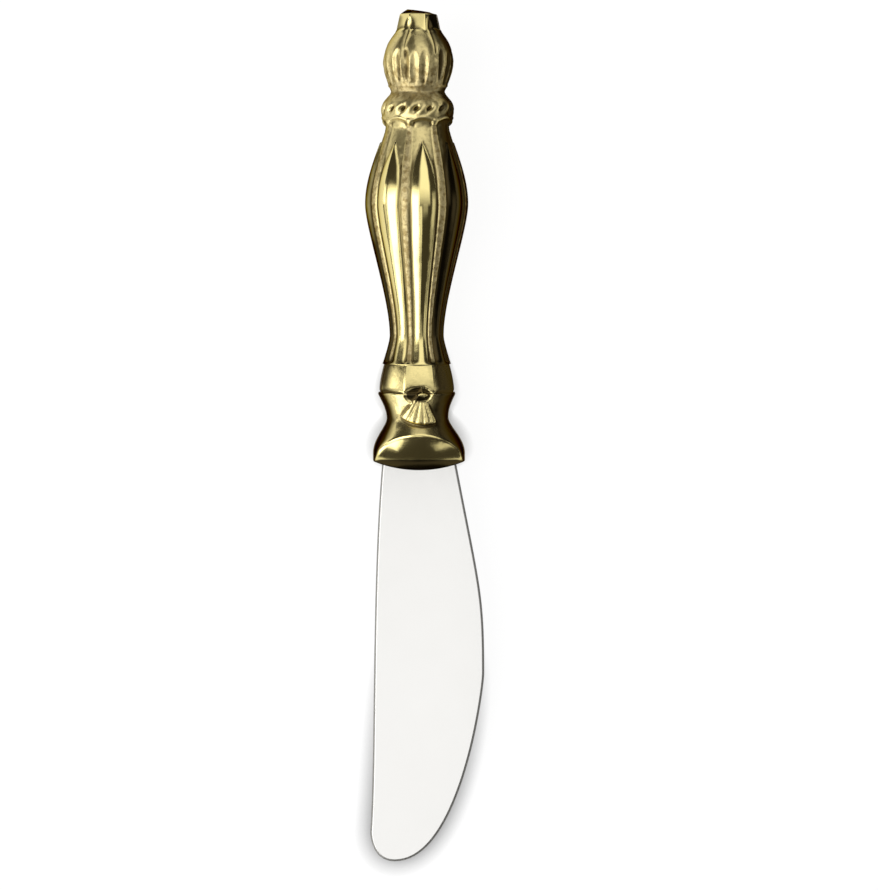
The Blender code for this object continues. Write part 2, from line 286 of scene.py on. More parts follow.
def cheek_radius(radius, height, theta):
    """The turned flare, cut down to the rolled cheek where that lies inside it."""
    roll = math.sqrt(CHEEK_ROLL**2 - (CHEEK_CREST - height) ** 2)
    reach = CHEEK_HALF_THICKNESS - CHEEK_ROLL + roll
    facing = abs(math.cos(theta))
    crowning = 2 * reach * math.sin(theta) ** 2 / CHEEK_CROWN
    cheek = 2 * reach / (facing + math.sqrt(facing * facing + crowning))
    rounding = max(0.0, CHEEK_EDGE_ROUND - abs(radius - cheek))
    return min(radius, cheek) - rounding * rounding / (4 * CHEEK_EDGE_ROUND)


def foot_place(radius, height, theta):
    """Radius and height on the finished foot for a point of the turned rim or of the flat end inside it.

    The edge where a cheek meets the end depends on its own height, so it is found in a few passes.
    """
    edge = RIM_RADIUS
    for _ in range(FOOT_EDGE_PASSES):
        edge_height = end_height(edge * math.sin(theta))
        edge = cheek_radius(RIM_RADIUS, edge_height, theta)
    if height <= FOOT_END:
        inside = edge * radius / RIM_RADIUS
        return inside, end_height(inside * math.sin(theta))
    raised = edge_height + (RIM_TOP - edge_height) * (height - FOOT_END) / (RIM_TOP - FOOT_END)
    return cheek_radius(radius, raised, theta), raised


def niche_section(aside, height):
    """How deep the niche is at a place, from 0 at its edge to 1, and less where the bud stands in it."""
    niche_aside = (aside - NICHE_ASIDE) / NICHE_HALF_WIDTH
    niche_above = (height - NICHE_MIDDLE) / NICHE_HALF_HEIGHT
    bud_aside = (aside - BUD_ASIDE) / BUD_HALF_WIDTH
    bud_above = (height - BUD_MIDDLE) / BUD_HALF_HEIGHT
    bud = hump(math.hypot(bud_aside, bud_above))
    return hump(math.hypot(niche_aside, niche_above)) - BUD_RISE / NICHE_DEPTH * bud


def leaf_radius(radius, height, theta):
    """The leaf's petals, fanned out under their root over the cove, and the niche hollowed over it."""
    aside = radius * math.remainder(theta - LEAF_TURN, math.pi)
    down = LEAF_ROOT - height
    finished = radius - NICHE_DEPTH * niche_section(aside, height)
    turn = math.atan2(aside - LEAF_ASIDE, down)
    reach = math.hypot(aside - LEAF_ASIDE, down)
    for left, right in zip(PETAL_EDGES, PETAL_EDGES[1:]):
        if left < turn < right and reach < LEAF_LENGTH:
            rise = PETAL_RISE * hump((2 * turn - left - right) / (right - left))
            proud = LEAF_RADIUS + LEAF_FLARE * down + rise - radius
            proud *= ease(reach, LEAF_LENGTH, LEAF_LENGTH - LEAF_END_EASE)
            finished = max(finished, radius + proud * ease(height, LEAF_TOP, LEAF_TOP - LEAF_TOP_EASE))
    return finished


def facet_radius(radius, side, pillow):
    """One of eight facets, its corners on the turned round, filled out towards it by the pillow's share."""
    half_facet = math.pi / LOBES
    flat = math.cos(half_facet) / math.cos(half_facet * side)
    return radius * (flat + (1 - flat) * pillow)


def scallop_height(side):
    """Height of the arched edge between the collar and a lobe's field."""
    return SCALLOP_FOOT + SCALLOP_RISE * (1 - side * side)


def lobe_section(height, side):
    """Flat arch of a lobe over its field: 1 on its crest, 0 beside it and past its point."""
    to_tip = max(0.0, (height - LOBE_FULL) / (LOBE_TIP - LOBE_FULL))
    width = (1 - FILLET_SHARE) * (1 - to_tip**LOBE_POINT)
    return max(0.0, 1 - (side / width) ** 2) if to_tip < 1 else 0.0


def fillet_section(height, side):
    """Flat-topped section of the fillets, which run from the groove to the collar."""
    across = (1 - abs(side)) / FILLET_SHARE
    along = ease(height, GROOVE, GROOVE + LOBE_FOOT_LENGTH) * ease(height, NECK + FILLET_TOP_EASE, NECK)
    return hump(across * across) * along


def baluster_rise(height, side):
    """Lobes in sunk fields with an arched top edge, and the fillets that stand up between them."""
    arch = scallop_height(side)
    field = ease(height, GROOVE, GROOVE + LOBE_FOOT_LENGTH) * ease(height, arch, arch - FIELD_EDGE)
    boldness = 1 - TOP_SHALLOWNESS * ease(height, LOBE_FULL, NECK)
    sunk = LOBE_DEPTH * field * (1 - lobe_section(height, side))
    return boldness * (FILLET_RISE * fillet_section(height, side) - sunk)


def collar_gap(height, theta):
    """Place across the collar's slanted beads: 0 in the gap between two and 1 on the crest of one."""
    slant = BEAD_SLANT * (height - COLLAR) / BEAD_HALF_LENGTH
    turns = (theta - LOBE_TURN - slant) * BEADS / math.tau - 1 / 2
    return 2 * abs(turns - round(turns))


def collar_pit(height, theta):
    """Soft section of the deep pits between the beads: 1 in their middle."""
    aside = collar_gap(height, theta) * COLLAR_RADIUS * math.pi / BEADS
    return thin_rise(math.hypot(aside, height - COLLAR) / BEAD_PIT_HALF_WIDTH)


def collar_rise(height, theta, side):
    """Slanted beads with pits between them, the scalloped edge under them and its knobs."""
    off = (height - COLLAR) / BEAD_HALF_LENGTH
    along = ease(1 - abs(off), 0, BEAD_END_EASE)
    gap = BEAD_DEPTH * (1 - collar_gap(height, theta)) ** BEAD_SHARPNESS * along
    pit = BEAD_PIT_DEPTH * collar_pit(height, theta)
    edge = SCALLOP_HEIGHT * thin_rise((height - scallop_height(side)) / SCALLOP_HALF_WIDTH)
    beside = (1 - abs(side)) * math.pi / LOBES * KNOB_REACH
    knob = KNOB_HEIGHT * hump(math.hypot(beside, height - SCALLOP_FOOT) / KNOB_HALF_WIDTH)
    return max(edge, knob) - max(gap, pit)


def bulb_rise(height, theta):
    """Uneven hollow flutes with crisp ridges between them, over a thin ring and under broad petals."""
    turns = (theta - FLUTE_TURN) * FLUTES / math.tau - 1 / 2
    which = round(turns)
    uneven = FLUTE_UNEVENNESS * noise.noise(Vector((which % FLUTES, FLUTE_DRAW, FLUTE_DRAW)))
    within = 2 * (turns - which)
    along = (height - FLUTE_MIDDLE - uneven * MM) / FLUTE_HALF_LENGTH
    flute = FLUTE_DEPTH * (1 + uneven) * max(0.0, 1 - within**2 - along**2)
    turns = (theta - SHOULDER_TURN) * SHOULDER_PETALS / math.tau
    side = 2 * (turns - round(turns))
    risen = ease(height, SHOULDER_FOOT, SHOULDER_FOOT + SHOULDER_EASE)
    shoulder = SHOULDER_DEPTH * side**SHOULDER_SHARPNESS * risen * ease(height, CAP_TOP, CAP_BASE)
    ring = RING_HEIGHT * thin_rise((height - RING) / RING_HALF_WIDTH)
    return ring - flute - shoulder


def cap_radius(radius, height, side):
    """The flats of the cap, each with an arched foot on the bulb."""
    arch = CAP_ARCH_FOOT + CAP_ARCH_RISE * (1 - side * side)
    share = ease(height, arch - CAP_ARCH_EASE, arch)
    return radius + share * (facet_radius(radius, side, 0) - radius)


def carved_radius(radius, height, theta):
    """Radius of the finished casting above the foot's rim, where the turned profile has this one."""
    side = lobe_side(theta)
    if height < COVE:
        return leaf_radius(cheek_radius(radius, height, theta), height, theta)
    if height < GROOVE:
        facet = lobe_side(theta + LOBE_TURN - BAND_TURN)
        banded = facet_radius(radius, facet, FACET_PILLOW) if height > BAND_FOOT else radius
        groove = BAND_GROOVE_DEPTH * thin_rise((height - BAND_FOOT) / BAND_GROOVE_HALF_WIDTH)
        return leaf_radius(banded - groove, height, theta)
    if height < COLLAR:
        return radius + baluster_rise(height, side) + collar_rise(height, theta, side)
    if height < THROAT:
        return radius + collar_rise(height, theta, side)
    return cap_radius(radius, height, lobe_side(theta + LOBE_TURN - CAP_TURN)) + bulb_rise(height, theta)


def matt_skin(height, side):
    """How much matt cast skin is left: most on the fillets and in the fields, some on the small carving."""
    if height < GROOVE:
        cove = COVE_MATT * ease(height, RIM_TOP, COVE)
        return cove + (BAND_MATT - COVE_MATT) * ease(height, BAND_FOOT - BAND_MATT_EASE, BAND_FOOT)
    if height < NECK:
        beside = (1 - lobe_section(height, side)) ** FIELD_MATT_SHARPNESS
        field = ease(height, LOBE_FULL, LOBE_FULL + FIELD_EDGE) * beside
        waist = WAIST_MATT * ease(height, WAIST + WAIST_MATT_LENGTH, WAIST)
        return max(fillet_section(height, side), FIELD_MATT * field, waist)
    bulb = ease(height, COLLAR, THROAT) * ease(height, CAP_BASE, CAP_BASE - CAP_ARCH_EASE)
    return COLLAR_MATT * ease(height, CAP_BASE, THROAT) + (BULB_MATT - COLLAR_MATT) * bulb


def shade_and_pit_darkness(radius, finished, height, theta):
    """How dark a place is painted: shade on flanks, foot end and niche, dark pits, and all of the cut cap
    top.
    """
    if height > CAP_TOP + MERGE_DISTANCE:
        return 1.0
    round_side = math.sin(theta - SHADE_TURN)
    sides = max(round_side, -round_side * (1 - LEFT_SIDE_LIGHTER * ease(height, WAIST, BELLY)))
    sides += LOWER_SHADE * ease(height, BELLY, WAIST)
    if GROOVE < height < WAIST:
        sides += WAIST_SHADE * ease(height, WAIST, GROOVE)
    if height < COVE:
        sides -= CHEEK_SHADE_CUT * ease(radius - finished, 0, CHEEK_EDGE_ROUND)
    sides *= ease(math.cos(theta), *UNSHADED_UNDER)
    foot = ease(height, END_SHADE_TOP, END_SHADE_TOP - END_SHADE_EASE)
    aside = radius * math.remainder(theta - LEAF_TURN, math.pi)
    niche = NICHE_SHADE * niche_section(aside, height) * ease(height, LEAF_TOP - LEAF_TOP_EASE, LEAF_TOP)
    return max(sides, foot, niche, collar_pit(height, theta))


def handle_casting():
    """The profile turned round the axis and carved, with its skin's finish and painted shade stored on each
    point.
    """
    bm = bmesh.new()
    start = Matrix.Rotation(LOBE_TURN, 4, "Y")
    verts = [bm.verts.new(start @ Vector((0, height, radius))) for radius, height in handle_profile()]
    edges = [bm.edges.new(pair) for pair in zip(verts, verts[1:])]
    bmesh.ops.spin(
        bm, geom=verts + edges, axis=(0, 1, 0), cent=(0, 0, 0), angle=math.tau, steps=COLUMNS, use_merge=True
    )
    bmesh.ops.remove_doubles(bm, verts=bm.verts, dist=MERGE_DISTANCE)
    matt = bm.verts.layers.float.new("matt")
    shade_and_pits = bm.verts.layers.float.new("shade_and_pits")
    end_rim = set()
    for vert in bm.verts:
        radius, height = math.hypot(vert.co.x, vert.co.z), vert.co.y
        theta = math.atan2(vert.co.x, vert.co.z)
        if height < RIM_TOP:
            finished, vert.co.y = foot_place(radius, height, theta)
            if height < FOOT_END + MERGE_DISTANCE and radius > RIM_RADIUS - MERGE_DISTANCE:
                end_rim.add(vert)
        else:
            vert[matt] = matt_skin(height, lobe_side(theta))
            pits = max(0.0, noise.noise(vert.co / PIT_SIZE))
            finished = carved_radius(radius, height, theta) - PIT_DEPTH * vert[matt] * pits
        vert[shade_and_pits] = shade_and_pit_darkness(radius, finished, vert.co.y, theta)
        vert.co.x *= finished / max(radius, MERGE_DISTANCE)
        vert.co.z *= finished / max(radius, MERGE_DISTANCE)
        vert.co.x += FOOT_SHIFT * ease(height, BAND_FOOT, RIM_TOP) + CAP_SHIFT * ease(height, BELLY, CROWN)
        vert.co.y -= CROWN_SLANT * vert.co.x * max(0.0, height - CAP_TOP) / (CROWN - CAP_TOP)
    rim_edges = {edge for vert in end_rim for edge in vert.link_edges if edge.other_vert(vert) in end_rim}
    bmesh.ops.bevel(
        bm, geom=list(rim_edges), offset=END_EDGE_ROUND, affect="EDGES", segments=END_EDGE_STEPS,
        profile=ROUND_PROFILE, material=-1
    )
    bmesh.ops.recalc_face_normals(bm, faces=bm.faces)
    return bm


def add_piece(name, bm):
    """The finished mesh as an object of the scene."""
    mesh = bpy.data.meshes.new(name)
    bm.to_mesh(mesh)
    bm.free()
    piece = bpy.data.objects.new(name, mesh)
    bpy.context.scene.collection.objects.link(piece)
    return piece


HOLLOW_RINGS = 6
HOLLOW_SOFT_RINGS = 2


def mark_hollows(mesh):
    """Stores on each point how far it lies below its neighbours, spread over a few rings of them."""
    count = len(mesh.vertices)
    places = np.empty(count * 3)
    normals = np.empty(count * 3)
    ends = np.empty(len(mesh.edges) * 2, dtype=int)
    mesh.vertices.foreach_get("co", places)
    mesh.vertices.foreach_get("normal", normals)
    mesh.edges.foreach_get("vertices", ends)
    places, normals, ends = places.reshape(-1, 3), normals.reshape(-1, 3), ends.reshape(-1, 2)
    degree = np.bincount(ends.ravel(), minlength=count)

    def neighbour_mean(values):
        total = np.zeros_like(values)
        np.add.at(total, ends[:, 0], values[ends[:, 1]])
        np.add.at(total, ends[:, 1], values[ends[:, 0]])
        return total / degree.reshape(-1, *[1] * (values.ndim - 1))

    blurred = places
    for _ in range(HOLLOW_RINGS):
        blurred = neighbour_mean(blurred)
    depth = np.einsum("ij,ij->i", blurred - places, normals)
    for _ in range(HOLLOW_SOFT_RINGS):
        depth = neighbour_mean(depth)
    hollow = mesh.attributes.new("hollow", "FLOAT", "POINT")
    hollow.data.foreach_set("value", (depth / MM).astype(np.float32))


# Seat of the blade: a slot across the end of the foot, and the bore for the tang behind it
SLOT_DEPTH = 2.2 * MM
SLOT_OUTER_END = 2 * FOOT_END
SLOT_CLEARANCE = 0.08 * MM
SPINE_AT_ROOT = 6.15 * MM
EDGE_AT_ROOT = 7.0 * MM
BLADE_THICKNESS = 1.5 * MM
TANG_LENGTH = 38.0 * MM
BORE_RADIUS = 2.7 * MM
BORE_END_GAP = 2.5 * MM
BORE_OVERLAP = 0.25 * MM
BORE_SIDES = 48


def slot_cutter():
    """The slot across the foot, as one closed shape that stands out past its end."""
    bm = bmesh.new()
    half = BLADE_THICKNESS / 2
    low = Vector((-SPINE_AT_ROOT - SLOT_CLEARANCE, SLOT_OUTER_END, -half - SLOT_CLEARANCE))
    high = Vector((EDGE_AT_ROOT + SLOT_CLEARANCE, SLOT_DEPTH, half + SLOT_CLEARANCE))
    slot = Matrix.Translation((low + high) / 2) @ Matrix.Diagonal((*(high - low), 1))
    bmesh.ops.create_cube(bm, size=1, matrix=slot)
    return bm


def bore_cutter():
    """The bore for the tang, as one closed shape that starts inside the slot."""
    bm = bmesh.new()
    low = SLOT_DEPTH - BORE_OVERLAP
    high = SLOT_DEPTH + TANG_LENGTH + BORE_END_GAP
    bore = Matrix.Translation((0, (low + high) / 2, 0)) @ Matrix.Rotation(math.pi / 2, 4, "X")
    bmesh.ops.create_cone(
        bm, cap_ends=True, segments=BORE_SIDES, radius1=BORE_RADIUS, radius2=BORE_RADIUS,
        depth=high - low, matrix=bore
    )
    return bm


def cut_out(piece, cutter_mesh):
    """Cuts a closed shape out of the piece for good."""
    cutter = add_piece("cutter", cutter_mesh)
    modifier = piece.modifiers.new("cut", "BOOLEAN")
    modifier.object = cutter
    modifier.solver = "MANIFOLD"
    shown = piece.evaluated_get(bpy.context.evaluated_depsgraph_get())
    uncut = piece.data
    piece.modifiers.remove(modifier)
    piece.data = bpy.data.meshes.new_from_object(shown)
    bpy.data.objects.remove(cutter)
    bpy.data.meshes.remove(uncut)


handle = add_piece("handle_casting", handle_casting())
mark_hollows(handle.data)
cut_out(handle, slot_cutter())
cut_out(handle, bore_cutter())
handle.data.transform(spreader_place)
handle.data.shade_smooth()


class Value:
    """A socket that can be reckoned with: each operator adds the Math node that works it out."""

    def __init__(self, finish, socket):
        self.finish = finish
        self.socket = socket

    def maths(self, operation, first, second):
        """One Math node on two values or numbers."""
        return self.finish.node("ShaderNodeMath", {"operation": operation}, {0: first, 1: second})

    def __add__(self, other):
        return self.maths("ADD", self, other)

    def __sub__(self, other):
        return self.maths("SUBTRACT", self, other)

    def __rsub__(self, other):
        return self.maths("SUBTRACT", other, self)

    def __mul__(self, other):
        return self.maths("MULTIPLY", self, other)

    __radd__ = __add__
    __rmul__ = __mul__


class Finish:
    """The finish of one piece: a Principled shader and the nodes that feed it."""

    def __init__(self, name):
        self.material = bpy.data.materials.new(name)
        self.material.use_nodes = True
        self.tree = self.material.node_tree
        self.shader = self.tree.nodes["Principled BSDF"]

    def feed(self, node, sockets):
        """Links each value to its socket, and sets plain numbers and colours on theirs."""
        for key, value in sockets.items():
            named = [socket for socket in node.inputs if key in (socket.identifier, socket.name)]
            socket = node.inputs[key] if isinstance(key, int) else named[0]
            if isinstance(value, Value):
                self.tree.links.new(value.socket, socket)
            else:
                socket.default_value = value

    def node(self, kind, settings, sockets, output=0):
        """Adds a node, sets it up, then feeds its sockets, and gives back one of its outputs."""
        node = self.tree.nodes.new(kind)
        for name, setting in settings.items():
            setattr(node, name, setting)
        self.feed(node, sockets)
        return Value(self, node.outputs[output])

    def place(self):
        """Object coordinates, which stay with the piece."""
        return self.node("ShaderNodeTexCoord", {}, {}, output="Object")

    def noise(self, place, size, detail=3.0, roughness=0.55):
        """Cloudy noise from 0 to 1 whose blots are about this large."""
        sockets = {"Vector": place, "Scale": 1 / size, "Detail": detail, "Roughness": roughness}
        return self.node("ShaderNodeTexNoise", {}, sockets)

    def mask(self, value, start, end):
        """0 before the start and 1 past the end of a range."""
        sockets = {"Value": value, "From Min": start, "From Max": end}
        return self.node("ShaderNodeMapRange", {"interpolation_type": "SMOOTHSTEP"}, sockets)

    def mix(self, share, first, second):
        """From the first colour to the second. The node's third output is its colour."""
        sockets = {"Factor_Float": share, "A_Color": first, "B_Color": second}
        return self.node("ShaderNodeMix", {"data_type": "RGBA"}, sockets, output=2)

    def attribute(self, name):
        """A value stored on the points of the piece. The node's third output is its number."""
        return self.node("ShaderNodeAttribute", {"attribute_name": name}, {}, output=2)

    def bump(self, height, distance):
        """Fine relief that is too small for the mesh."""
        return self.node("ShaderNodeBump", {}, {"Height": height, "Distance": distance, "Strength": 1.0})


# Colours of the brass, from polished through painted shade to black polish, and how far each one covers the
# last
POLISHED_BRASS = (0.77, 0.65, 0.275, 1), (0.85, 0.725, 0.315, 1)
MATT_BRASS = (0.46, 0.375, 0.21, 1)
STAINED_BRASS = (0.24, 0.165, 0.05, 1)
# Painted shade on the flanks, the foot's end and the niche, also darkening hollows and pits
SHADE_AND_HOLLOW_BRASS = (0.034, 0.024, 0.01, 1)
BLACK_POLISH = (0.075, 0.052, 0.018, 1)
BRASS_SHEEN = (0.3, 0.24, 0.13, 1)
MATT_COVER = 0.75
STAIN_COVER = 0.65
SHADE_COVER = 0.98
TARNISH_COVER = 0.85
PIT_COVER = 0.3

# Sizes of the blots in the brass, and the ranges of noise or of stored values in which they show
CLOUD_SIZE = 6 * MM
GRAIN_SIZE = 0.4 * MM
STAIN_SIZE = 0.9 * MM
SCRATCH_SIZE = 0.2 * MM
WAVE_SIZE = 3.2 * MM
PITTED = (0.5, 0.66)
SHADE_AND_HOLLOW_RANGE = (0.44, 0.7)
TARNISHED = (0.008, 0.05)
STAINED = (0.44, 0.62)
STAINED_SKIN = (0.6, 0.9)
MATT_SHADE_CUT = 0.3
CLOUD_SHADE_SPREAD = 0.12
HOLLOW_DARKENING = 2
CLOUD_TARNISH = 0.02

# Roughness of the polished brass and what each blemish and the painted shade add to it, and its fine relief
BRASS_ROUGHNESS = 0.08
CLOUD_ROUGHNESS = 0.04
SCRATCH_ROUGHNESS = 0.03
MATT_ROUGHNESS = 0.38
TARNISH_ROUGHNESS = 0.2
SHADED_ROUGHNESS = 0.06
BRASS_RELIEF = 0.06 * MM
WAVE_RELIEF = 0.9
GRAIN_RELIEF = 0.7


def brass_finish():
    """Polished brass, matt on the cast skin, dark in the hollows, with shade painted on flanks, foot end and
    niche.
    """
    finish = Finish("polished_brass")
    place = finish.place()
    matt = finish.attribute("matt")
    hollow = finish.attribute("hollow")
    shade_and_pits = finish.attribute("shade_and_pits")
    clouds = finish.noise(place, CLOUD_SIZE)
    grain = finish.noise(place, GRAIN_SIZE, detail=4.0)
    pits = finish.mask(grain, *PITTED) * matt
    patches = clouds - 1 / 2
    # Painted shade on the flanks, the foot's end and the niche, also darkening hollows and the collar's pits
    shade_and_hollow_level = shade_and_pits - matt * MATT_SHADE_CUT + patches * CLOUD_SHADE_SPREAD + hollow * HOLLOW_DARKENING
    shade_and_hollow_mask = finish.mask(shade_and_hollow_level, *SHADE_AND_HOLLOW_RANGE)
    tarnish = finish.mask(hollow + patches * CLOUD_TARNISH, *TARNISHED)
    blots = finish.noise(place, STAIN_SIZE, detail=4.0)
    stain = finish.mask(blots, *STAINED) * finish.mask(matt, *STAINED_SKIN)
    bright = finish.mix(clouds, *POLISHED_BRASS)
    worn = finish.mix(matt * MATT_COVER, bright, MATT_BRASS)
    stained = finish.mix(stain * STAIN_COVER, worn, STAINED_BRASS)
    darkened = finish.mix(shade_and_hollow_mask * SHADE_COVER, stained, SHADE_AND_HOLLOW_BRASS)
    scratches = finish.noise(place, SCRATCH_SIZE, detail=2.0)
    waves = finish.noise(place, WAVE_SIZE, detail=1.0)
    finish.feed(finish.shader, {
        "Base Color": finish.mix(tarnish * TARNISH_COVER + pits * PIT_COVER, darkened, BLACK_POLISH),
        "Metallic": 1.0,
        "Roughness": (
            BRASS_ROUGHNESS + clouds * CLOUD_ROUGHNESS + scratches * SCRATCH_ROUGHNESS
            + matt * MATT_ROUGHNESS + tarnish * TARNISH_ROUGHNESS + shade_and_hollow_mask * SHADED_ROUGHNESS
        ),
        "Specular Tint": BRASS_SHEEN,
        "Normal": finish.bump(waves * WAVE_RELIEF + grain * matt * GRAIN_RELIEF, BRASS_RELIEF),
    })
    return finish.material


handle.data.materials.clear()
handle.data.materials.append(brass_finish())
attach(handle, "root")
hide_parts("handle")


# Blade
# Stamped from 1.5 mm stainless sheet with its stick tang, rounded along its edges and polished to a mirror.
# Its root sits in the slot across the foot and its tang in the bore behind that.

BLADE_LENGTH = 71.7 * MM
EDGE_ROUND = 0.42 * MM
SPINE_AT_TIP = 8.35 * MM
TIP_CORNER_RISE = 5.4 * MM
TIP_LOW_POINT = 3.95 * MM
EDGE_BELLY = 12.07 * MM
EDGE_BELLY_HEIGHT = 37.8 * MM
TANG_WIDTH = 3.2 * MM
ROOT_GAP = 0.25 * MM
CURVE_STEPS = 40
EDGE_STEPS = 5
FLAT_FACING = 0.999

# How each curve of the outline leaves and meets its ends, in shares of the blade's own sizes
SPINE_LEAVES = (-0.9, -0.31)
SPINE_MEETS = (0.44, 0.19)
CORNER_LEAVES = -0.18
CORNER_MEETS = -0.92
TIP_MEETS = -0.07
BELLY_LEAVES = 0.38
ROOT_MEETS = (0.86, -0.6)


def blade_outline():
    """Points round the blade from the end of its tang, each curve given by its ends and two handles."""
    root = SLOT_DEPTH - ROOT_GAP
    tang = TANG_WIDTH / 2
    tang_end = SLOT_DEPTH + TANG_LENGTH
    tip_corner = -BLADE_LENGTH + TIP_CORNER_RISE
    spine_lean = SPINE_AT_TIP - SPINE_AT_ROOT
    edge_reach = EDGE_BELLY - EDGE_AT_ROOT
    spine_root = Vector((-SPINE_AT_ROOT, 0, 0))
    spine_tip = Vector((-SPINE_AT_TIP, tip_corner, 0))
    low_point = Vector((-TIP_LOW_POINT, -BLADE_LENGTH, 0))
    belly = Vector((EDGE_BELLY, -EDGE_BELLY_HEIGHT, 0))
    edge_root = Vector((EDGE_AT_ROOT, 0, 0))
    spine_leaves = SPINE_LEAVES[0] * spine_lean, SPINE_LEAVES[1] * BLADE_LENGTH
    spine_meets = SPINE_MEETS[0] * spine_lean, SPINE_MEETS[1] * BLADE_LENGTH
    corner_leaves = 0, CORNER_LEAVES * TIP_CORNER_RISE
    corner_meets = CORNER_MEETS * (SPINE_AT_TIP - TIP_LOW_POINT), 0
    tip_meets = 0, TIP_MEETS * EDGE_BELLY_HEIGHT
    belly_leaves = 0, BELLY_LEAVES * EDGE_BELLY_HEIGHT
    root_meets = ROOT_MEETS[0] * edge_reach, ROOT_MEETS[1] * EDGE_BELLY_HEIGHT
    curves = (
        (spine_root, spine_leaves, spine_meets, spine_tip),
        (spine_tip, corner_leaves, corner_meets, low_point),
        (low_point, (EDGE_BELLY, 0), tip_meets, belly),
        (belly, belly_leaves, root_meets, edge_root),
    )
    points = [Vector((-tang, tang_end, 0)), Vector((-tang, root, 0)), Vector((-SPINE_AT_ROOT, root, 0))]
    for start, leave, arrive, end in curves:
        handles = start + Vector((*leave, 0)), end + Vector((*arrive, 0))
        points += interpolate_bezier(start, *handles, end, CURVE_STEPS)[:-1]
    points += [edge_root, Vector((EDGE_AT_ROOT, root, 0))]
    points += [Vector((tang, root, 0)), Vector((tang, tang_end, 0))]
    return points


def blade_sheet():
    """The outline raised to the blade's thickness, its edges rounded and stored as its rougher rim with
    painted shade.
    """
    bm = bmesh.new()
    half = Vector((0, 0, BLADE_THICKNESS / 2))
    under = bm.faces.new([bm.verts.new(point - half) for point in blade_outline()])
    raised = bmesh.ops.extrude_face_region(bm, geom=[under], use_keep_orig=True)["geom"]
    bmesh.ops.translate(bm, verts=[v for v in raised if isinstance(v, bmesh.types.BMVert)], vec=2 * half)
    bmesh.ops.recalc_face_normals(bm, faces=bm.faces)
    rims = [edge for edge in bm.edges if abs(edge.verts[0].co.z - edge.verts[1].co.z) < half.z]
    bmesh.ops.bevel(
        bm, geom=rims, offset=EDGE_ROUND, affect="EDGES", segments=EDGE_STEPS,
        profile=ROUND_PROFILE, material=-1
    )
    rim = bm.verts.layers.float.new("rim")
    for face in bm.faces:
        face.smooth = abs(face.normal.z) < FLAT_FACING
    for vert in bm.verts:
        vert[rim] = float(abs(vert.co.z) < half.z - MERGE_DISTANCE)
    return bm


# Steel: two tones of the polished flats, the rougher rim with painted shade, and fine lines along the blade
POLISHED_STEEL = (0.85, 0.845, 0.825, 1), (0.89, 0.885, 0.87, 1)
# Painted shade along the rounded rim
SHADED_RIM_STEEL = (0.3, 0.295, 0.28, 1)
STEEL_SHEEN = (0.6, 0.59, 0.57, 1)
LINE_SIZE = 0.12 * MM
LINE_STRETCH = (1, 0.03, 1)
STEEL_CLOUD_SIZE = 14 * MM
STEEL_ROUGHNESS = 0.09
LINE_ROUGHNESS = 0.05
RIM_ROUGHNESS = 0.5
STEEL_RELIEF = 0.004 * MM
LINE_RELIEF = 0.25


def steel_finish():
    """Mirror-polished steel with fine lines, rougher along its rounded rim, where shade is painted on."""
    finish = Finish("mirror_steel")
    place = finish.place()
    rim = finish.attribute("rim")
    along = finish.node("ShaderNodeMapping", {}, {"Vector": place, "Scale": LINE_STRETCH})
    lines = finish.noise(along, LINE_SIZE, detail=2.0)
    clouds = finish.noise(place, STEEL_CLOUD_SIZE, detail=2.0)
    polished = finish.mix(clouds, *POLISHED_STEEL)
    finish.feed(finish.shader, {
        "Base Color": finish.mix(rim, polished, SHADED_RIM_STEEL),
        "Metallic": 1.0,
        "Roughness": STEEL_ROUGHNESS + lines * LINE_ROUGHNESS + rim * RIM_ROUGHNESS,
        "Specular Tint": STEEL_SHEEN,
        "Normal": finish.bump(lines * LINE_RELIEF + clouds, STEEL_RELIEF),
    })
    return finish.material


blade = add_piece("polished_blade", blade_sheet())
blade.data.transform(spreader_place)
blade.data.materials.append(steel_finish())
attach(blade, "root")
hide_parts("blade")


# Tang cement
# Filled epoxy resin, poured into the bore round the tang and set hard. Nothing of it shows from outside,
# so the plain solid stays and only gets the look of a mottled, matt filler.

RESIN = (0.31, 0.28, 0.23, 1), (0.42, 0.39, 0.33, 1)
FILLER = (0.62, 0.60, 0.55, 1)
FILLER_COVER = 0.6
RESIN_CLOUD_SIZE = 2.5 * MM
FILLER_SIZE = 0.25 * MM
FILLED = (0.58, 0.66)
RESIN_ROUGHNESS = 0.5
RESIN_CLOUD_ROUGHNESS = 0.2
RESIN_RELIEF = 0.02 * MM


def resin_finish():
    """Matt resin, mottled by the grains of its filler."""
    finish = Finish("set_resin")
    place = finish.place()
    clouds = finish.noise(place, RESIN_CLOUD_SIZE)
    filler = finish.mask(finish.noise(place, FILLER_SIZE, detail=2.0), *FILLED)
    body = finish.mix(clouds, *RESIN)
    finish.feed(finish.shader, {
        "Base Color": finish.mix(filler * FILLER_COVER, body, FILLER),
        "Roughness": RESIN_ROUGHNESS + clouds * RESIN_CLOUD_ROUGHNESS,
        "Normal": finish.bump(filler + clouds, RESIN_RELIEF),
    })
    return finish.material


frame["nodes"]["tang_cement"].material_slots[0].material = resin_finish()


# Table, lamps and camera
# A plain white table under a large soft lamp overhead and a strong soft lamp from the left, in a dim room.
# The camera hangs straight above the spreader, whose cap points to the top of the picture.

TABLE_SIZE = 3.0
TABLE_COLOUR = (0.12, 0.12, 0.12, 1)
TABLE_ROUGHNESS = 0.9
TABLE_GLOW = 0.92
SHADE_REACH = 4 * MM
SHADE_SAMPLES = 16
BLACK = (0, 0, 0, 1)
WHITE = (1, 1, 1, 1)
ROOM_COLOUR = (0.05, 0.046, 0.039, 1)


